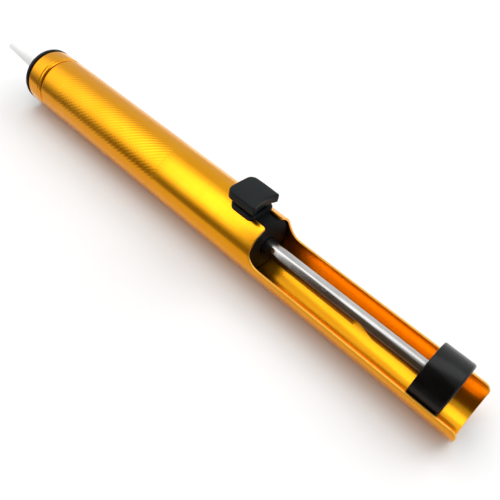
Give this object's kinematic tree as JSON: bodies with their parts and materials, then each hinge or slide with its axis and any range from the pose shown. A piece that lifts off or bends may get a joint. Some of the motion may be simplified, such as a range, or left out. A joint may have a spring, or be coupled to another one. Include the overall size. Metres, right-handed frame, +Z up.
{
  "type": "desoldering pump",
  "caption": "Spring-loaded desoldering pump: gold tube with an open rear trough, white nozzle, black trigger button, steel plunger rod and black thumb knob.",
  "frame": {"origin": "under the middle of the pump, on the surface that the barrel lies on", "axes": "+X along the barrel towards the nozzle, +Z up through the trigger button, +Y to the left of the pump when it points away"},
  "size_m": [0.1968, 0.019, 0.0237],
  "materials": {
    "gold_anodised": "bright gold anodised, lengthwise sheen",
    "black_plastic": "moulded black, soft sheen",
    "white_ptfe": "waxy white",
    "chromed_steel": "polished",
    "spring_steel": "drawn wire",
    "zinc_steel": "bright zinc",
    "black_rubber": "matt",
    "white_nylon": "natural nylon"
  },
  "bodies": {
    "barrel_body": {"barrel": "gold_anodised", "guide_block": "black_plastic", "block_screw": "zinc_steel", "bumper_ring": "black_rubber", "main_spring": "spring_steel", "trigger_spring": "spring_steel"},
    "nose_seal": {"collar_seal": "black_rubber"},
    "nose": {"front_collar": "gold_anodised", "nozzle_holder": "black_plastic", "holder_seal": "black_rubber", "nozzle": "white_ptfe"},
    "plunger_seal": {"piston_seal": "black_rubber"},
    "plunger": {"piston": "white_nylon", "piston_washer": "zinc_steel", "piston_nut": "zinc_steel", "plunger_rod": "chromed_steel", "cleaning_pin": "spring_steel", "plunger_knob": "black_plastic"},
    "trigger": {"trigger_button": "black_plastic", "latch_plate": "zinc_steel"}
  },
  "joints": [
    {"name": "plunger_slide", "type": "slide", "parent": "barrel_body", "child": "plunger_seal", "axis": [1, 0, 0], "range_m": [0, 0.0405], "stiffness_N_per_m": 290, "springref_m": -0.015, "deforming": ["main_spring"]},
    {"name": "plunger_spin", "type": "hinge", "parent": "plunger_seal", "child": "plunger", "pos_m": [-0.0466, 0, 0.00946], "axis": [1, 0, 0], "continuous": true},
    {"name": "trigger_press", "type": "slide", "parent": "barrel_body", "child": "trigger", "axis": [0, 0, 1], "range_m": [-0.0013, 0], "stiffness_N_per_m": 400, "springref_m": 0.004, "deforming": ["trigger_spring"]},
    {"name": "nose_travel", "type": "slide", "parent": "barrel_body", "child": "nose_seal", "axis": [1, 0, 0], "range_m": [0, 0.0045]},
    {"name": "nose_unscrew", "type": "hinge", "parent": "nose_seal", "child": "nose", "pos_m": [0.0704, 0, 0.00946], "axis": [1, 0, 0], "range_deg": [0, 1625]}
  ],
  "couplings": [
    {"joint": "nose_unscrew", "follows": "nose_travel", "rad_per_m": 6283.2}
  ]
}
